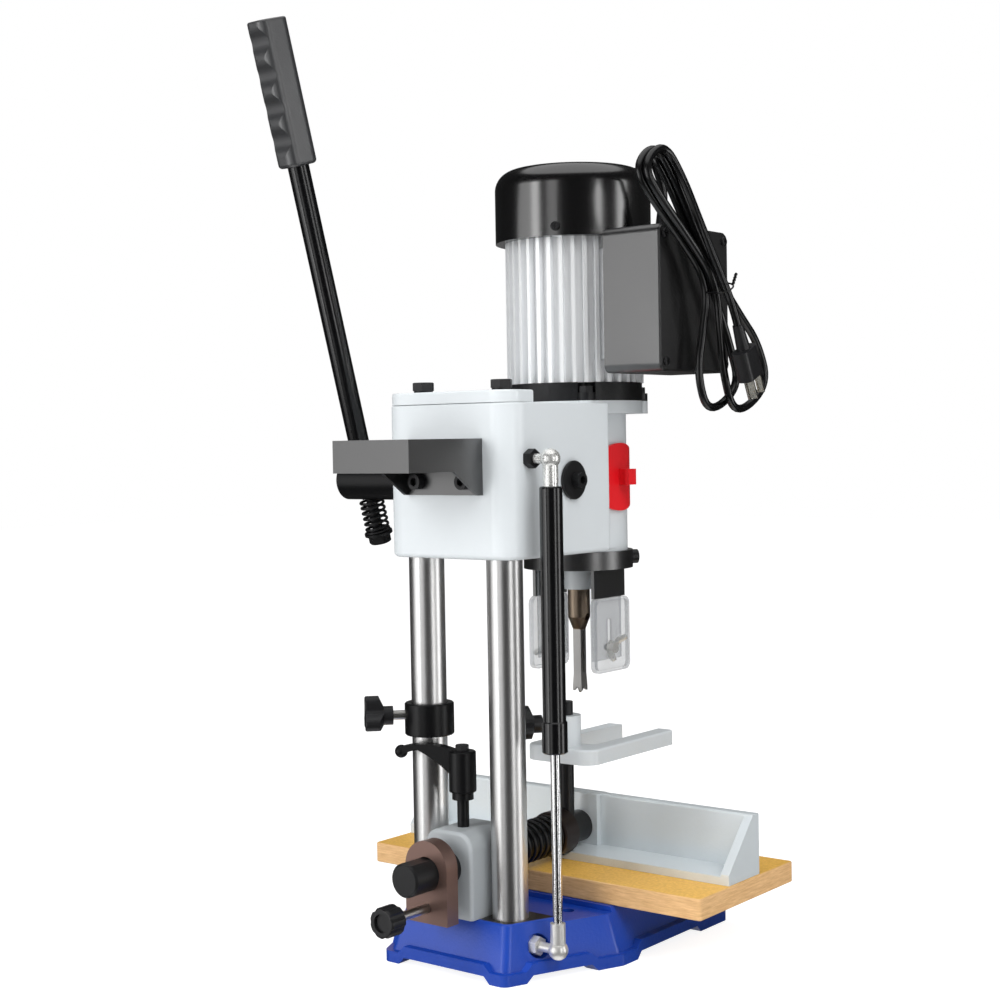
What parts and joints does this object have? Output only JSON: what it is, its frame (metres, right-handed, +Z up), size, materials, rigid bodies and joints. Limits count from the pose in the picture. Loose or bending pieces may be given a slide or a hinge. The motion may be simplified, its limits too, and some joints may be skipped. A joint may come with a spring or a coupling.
{
  "type": "hollow chisel mortiser",
  "caption": "Bench-top hollow chisel mortiser with a motor head sliding on round columns, rack-and-pinion lever, gas strut, sliding fence with hold-down, chip guards and tied cord.",
  "frame": {"origin": "on the bench top, midway between the two bench-bolt holes in the base", "axes": "+Z up along the columns, +X to the operator's right, -Y towards the operator, in front of the table"},
  "size_m": [0.3645, 0.374, 0.8065],
  "materials": {
    "blue_enamel": "gloss royal-blue enamel",
    "grey_enamel": "light grey enamel",
    "black_enamel": "satin black enamel",
    "gloss_black": "gloss black enamel on pressed sheet",
    "ground_steel": "ground and polished steel",
    "plain_steel": "machined steel",
    "zinc_plate": "bright zinc plate",
    "black_oxide": "black oxide",
    "brown_oxide": "dark brown oxide",
    "chrome_plate": "bright chrome",
    "bare_aluminium": "extruded aluminium",
    "fibreboard": "sanded fibreboard",
    "red_plastic": "gloss red",
    "green_plastic": "gloss green",
    "clear_plastic": "clear polycarbonate",
    "black_plastic": "satin black",
    "cord_rubber": "smooth black sheath"
  },
  "bodies": {
    "base": {"base_casting": "blue_enamel", "left_column": "ground_steel", "right_column": "ground_steel", "top_plate": "grey_enamel", "column_bolts": "black_oxide", "table_board": "fibreboard", "table_screws": "zinc_plate", "rod_block": "grey_enamel", "strut_rod": "chrome_plate"},
    "head": {"head_casting": "grey_enamel", "tool_shelf": "black_enamel", "head_socket_screws": "black_oxide", "guard_bracket": "black_enamel", "guard_panels": "clear_plastic", "chisel": "plain_steel", "motor_flange": "black_enamel", "motor_bolts": "black_oxide", "motor_housing": "bare_aluminium", "stator_and_bearings": "plain_steel", "fan_cover": "gloss_black", "switch_box": "black_enamel", "box_lid": "black_enamel", "cover_screws": "black_oxide", "switch_body": "black_plastic", "cord_gland": "black_plastic", "strut_upper_joint": "chrome_plate", "strut_tube": "black_enamel", "power_cord": "cord_rubber", "cord_hank": "cord_rubber", "plug": "cord_rubber"},
    "spindle": {"rotor": "plain_steel", "cooling_fan": "black_plastic", "drill_chuck": "plain_steel", "auger_bit": "plain_steel"},
    "drive": {"pinion_shaft": "ground_steel", "shaft_end_washer": "black_oxide", "lever_hub": "black_enamel"},
    "lever": {"lever_tube": "black_enamel", "lever_grip": "black_plastic", "lever_end_bolt": "black_oxide", "lever_spring": "black_oxide"},
    "fence_slide_body": {"fence": "grey_enamel", "fence_rod": "black_oxide", "rod_collar": "brown_oxide", "hold_down_post": "black_oxide", "adjust_plate": "brown_oxide", "fence_spring": "black_oxide"},
    "fine_adjuster": {"adjust_knob": "black_plastic"},
    "hold_down": {"hold_down_fork": "grey_enamel"},
    "hold_down_clamp": {"hold_down_knob": "black_plastic"},
    "rod_clamp": {"clamp_handle": "black_plastic"},
    "depth_stop": {"depth_stop_collar": "black_enamel"},
    "depth_stop_clamp": {"depth_stop_knob": "black_plastic"},
    "left_guard": {"guard_tray_left": "clear_plastic"},
    "right_guard": {"guard_tray_right": "clear_plastic"},
    "left_wing_screw": {"wing_screw_left": "zinc_plate"},
    "right_wing_screw": {"wing_screw_right": "zinc_plate"},
    "chuck_cover": {"access_cover": "red_plastic"},
    "start": {"start_button": "green_plastic"},
    "stop": {"stop_button": "red_plastic"}
  },
  "joints": [
    {"name": "head_travel", "type": "slide", "parent": "base", "child": "head", "axis": [0, 0, 1], "range_m": [-0.06, 0], "stiffness_N_per_m": 600, "springref_m": 0.6},
    {"name": "spindle_spin", "type": "hinge", "parent": "head", "child": "spindle", "pos_m": [0, -0.1065, 0.48], "axis": [0, 0, 1], "continuous": true},
    {"name": "lever_turn", "type": "hinge", "parent": "head", "child": "drive", "pos_m": [0, -0.0045, 0.404], "axis": [1, 0, 0], "range_deg": [-0.5, 73.5]},
    {"name": "lever_pull", "type": "slide", "parent": "drive", "child": "lever", "axis": [0, 0.279, 0.9603], "range_m": [0, 0.01], "stiffness_N_per_m": 2500, "springref_m": -0.008, "deforming": ["lever_spring"]},
    {"name": "fence_travel", "type": "slide", "parent": "base", "child": "fence_slide_body", "axis": [0, 1, 0], "range_m": [0, 0.03], "stiffness_N_per_m": 700, "springref_m": -0.02, "deforming": ["fence_spring"]},
    {"name": "adjust_turn", "type": "hinge", "parent": "fence_slide_body", "child": "fine_adjuster", "pos_m": [0, 0.1155, 0.059], "axis": [0, 1, 0], "continuous": true},
    {"name": "hold_down_travel", "type": "slide", "parent": "fence_slide_body", "child": "hold_down", "axis": [0, 0, 1], "range_m": [-0.028, 0]},
    {"name": "hold_down_knob_turn", "type": "hinge", "parent": "hold_down", "child": "hold_down_clamp", "pos_m": [0, -0.0835, 0.1835], "axis": [0.6157, 0.788, 0], "continuous": true},
    {"name": "clamp_turn", "type": "hinge", "parent": "base", "child": "rod_clamp", "pos_m": [0, 0.0635, 0.16], "axis": [0, 0, 1], "range_deg": [0, 100]},
    {"name": "stop_travel", "type": "slide", "parent": "base", "child": "depth_stop", "axis": [0, 0, 1], "range_m": [0, 0.05]},
    {"name": "stop_knob_turn", "type": "hinge", "parent": "depth_stop", "child": "depth_stop_clamp", "pos_m": [0.042, 0.0555, 0.20649], "axis": [0.7071, 0.7071, 0], "continuous": true},
    {"name": "left_guard_travel", "type": "slide", "parent": "head", "child": "left_guard", "axis": [0, 0, 1], "range_m": [-0.0055, 0]},
    {"name": "right_guard_travel", "type": "slide", "parent": "head", "child": "right_guard", "axis": [0, 0, 1], "range_m": [-0.0055, 0]},
    {"name": "left_wing_turn", "type": "hinge", "parent": "head", "child": "left_wing_screw", "pos_m": [-0.034, -0.1065, 0.251], "axis": [1, 0, 0], "continuous": true},
    {"name": "right_wing_turn", "type": "hinge", "parent": "head", "child": "right_wing_screw", "pos_m": [0.034, -0.1065, 0.251], "axis": [1, 0, 0], "continuous": true},
    {"name": "cover_pull", "type": "slide", "parent": "head", "child": "chuck_cover", "axis": [-1, 0, 0], "range_m": [0, 0.03]},
    {"name": "start_press", "type": "slide", "parent": "head", "child": "start", "axis": [0, 1, 0], "range_m": [0, 0.003], "stiffness_N_per_m": 800, "springref_m": -0.002},
    {"name": "stop_press", "type": "slide", "parent": "head", "child": "stop", "axis": [0, 1, 0], "range_m": [0, 0.003], "stiffness_N_per_m": 800, "springref_m": -0.002}
  ],
  "couplings": [
    {"joint": "lever_turn", "follows": "head_travel", "rad_per_m": -21.053}
  ]
}
